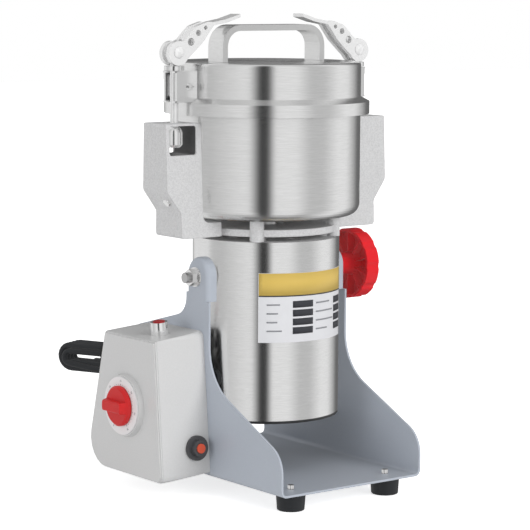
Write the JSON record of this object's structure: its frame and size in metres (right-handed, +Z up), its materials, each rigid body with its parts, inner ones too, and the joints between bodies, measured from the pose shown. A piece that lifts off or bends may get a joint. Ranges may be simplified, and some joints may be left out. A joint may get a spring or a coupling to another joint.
{
  "type": "electric grain mill",
  "caption": "Tilting electric grain mill: steel bowl with a clamped lid over a motor tube, hung in a folded stand with a control box, timer dial, clamp knob and tied power cord.",
  "frame": {"origin": "middle of the machine's footprint at table height, cord left out", "axes": "+Z up, -Y towards the open front that the bowl tips to, -X towards the control box"},
  "size_m": [0.2354, 0.2426, 0.3682],
  "materials": {
    "stand_paint": "grey-blue paint",
    "box_paint": "fine silver-grey paint",
    "cast_paint": "silver sparkle paint on a casting",
    "raw_casting": "as cast",
    "brushed_tube": "brushed round the tube",
    "bowl_steel": "satin stainless steel",
    "bright_steel": "bright plated steel",
    "blade_steel": "ground stainless steel",
    "plain_steel": "turned steel",
    "lamination": "varnished laminations",
    "copper": "enamelled copper",
    "brass": "drawn brass",
    "carbon": "pressed carbon",
    "black_rubber": "matt black rubber",
    "gasket_rubber": "white silicone rubber",
    "black_plastic": "moulded black plastic",
    "tie_tape": "black woven tape",
    "nylon": "natural nylon",
    "dial_white": "white printed plate",
    "label_white": "printed sticker",
    "red_plastic": "moulded red plastic",
    "orange_plastic": "moulded orange-red plastic"
  },
  "bodies": {
    "stand": {"stand_frame": "stand_paint", "rubber_feet": "black_rubber", "foot_studs": "bright_steel", "pivot_bushes": "nylon", "control_box": "box_paint", "box_screws": "plain_steel", "dial_plate": "dial_white", "timer_body": "black_plastic", "switch_body": "bright_steel", "breaker_body": "black_plastic", "cord_gland": "black_rubber", "power_cord": "black_rubber", "cord_hank": "black_rubber", "cord_tie": "tie_tape", "power_plug": "black_plastic"},
    "timer": {"timer_knob": "red_plastic", "timer_shaft": "plain_steel"},
    "power_button": {"power_button": "red_plastic"},
    "reset_button": {"reset_button": "orange_plastic"},
    "head": {"motor_housing": "brushed_tube", "housing_cover": "black_plastic", "housing_grommet": "black_rubber", "rating_label": "label_white", "carrier_casting": "cast_paint", "lower_bracket": "raw_casting", "through_bolts": "plain_steel", "stator_core": "lamination", "stator_coils": "copper", "bearings": "plain_steel", "brush_holders": "brass", "carbon_brushes": "carbon", "pivot_studs": "plain_steel", "pivot_fasteners": "bright_steel", "head_screws": "bright_steel", "bowl": "bowl_steel", "shaft_seal": "black_rubber", "bowl_screws": "bright_steel", "lid": "bowl_steel", "lid_gasket": "gasket_rubber", "lid_handle": "bowl_steel", "lug_brackets": "bright_steel"},
    "rotor": {"motor_shaft": "plain_steel", "armature": "lamination", "commutator": "copper", "cooling_fan": "black_plastic", "lower_blade": "blade_steel", "upper_blade": "blade_steel", "blade_spacer": "blade_steel", "blade_nut": "blade_steel"},
    "clamp_knob": {"clamp_knob": "red_plastic"},
    "latch_left": {"latch_rod_left": "bright_steel", "latch_nut_left": "bright_steel", "latch_collar_left": "bright_steel"},
    "lever_left": {"latch_lever_left": "bright_steel", "latch_pin_left": "bright_steel"},
    "latch_right": {"latch_rod_right": "bright_steel", "latch_nut_right": "bright_steel", "latch_collar_right": "bright_steel"},
    "lever_right": {"latch_lever_right": "bright_steel", "latch_pin_right": "bright_steel"}
  },
  "joints": [
    {"name": "head_tilt", "type": "hinge", "parent": "stand", "child": "head", "pos_m": [0.011, 0.011, 0.1675], "axis": [1, 0, 0], "range_deg": [0, 100]},
    {"name": "rotor_spin", "type": "hinge", "parent": "head", "child": "rotor", "pos_m": [0.011, 0.011, 0.15], "axis": [0, 0, 1], "continuous": true},
    {"name": "clamp_knob_turn", "type": "hinge", "parent": "head", "child": "clamp_knob", "pos_m": [0.091, 0.011, 0.1675], "axis": [1, 0, 0], "range_deg": [0, 360]},
    {"name": "timer_turn", "type": "hinge", "parent": "stand", "child": "timer", "pos_m": [-0.1042, 0.038, 0.0685], "axis": [1, 0, 0], "range_deg": [0, 300]},
    {"name": "power_press", "type": "slide", "parent": "stand", "child": "power_button", "axis": [0.0886, 0, -0.9961], "range_m": [0, 0.002], "stiffness_N_per_m": 400, "springref_m": -0.001},
    {"name": "reset_press", "type": "slide", "parent": "stand", "child": "reset_button", "axis": [0, 0.9961, -0.0885], "range_m": [0, 0.002], "stiffness_N_per_m": 400, "springref_m": -0.001},
    {"name": "latch_left_swing", "type": "hinge", "parent": "head", "child": "latch_left", "pos_m": [-0.077, 0.011, 0.2782], "axis": [0, -1, 0], "range_deg": [0, 20]},
    {"name": "lever_left_open", "type": "hinge", "parent": "latch_left", "child": "lever_left", "pos_m": [-0.077, 0.011, 0.3396], "axis": [0, -1, 0], "range_deg": [0, 130]},
    {"name": "latch_right_swing", "type": "hinge", "parent": "head", "child": "latch_right", "pos_m": [0.099, 0.011, 0.2782], "axis": [0, 1, 0], "range_deg": [0, 20]},
    {"name": "lever_right_open", "type": "hinge", "parent": "latch_right", "child": "lever_right", "pos_m": [0.099, 0.011, 0.3396], "axis": [0, 1, 0], "range_deg": [0, 130]}
  ]
}
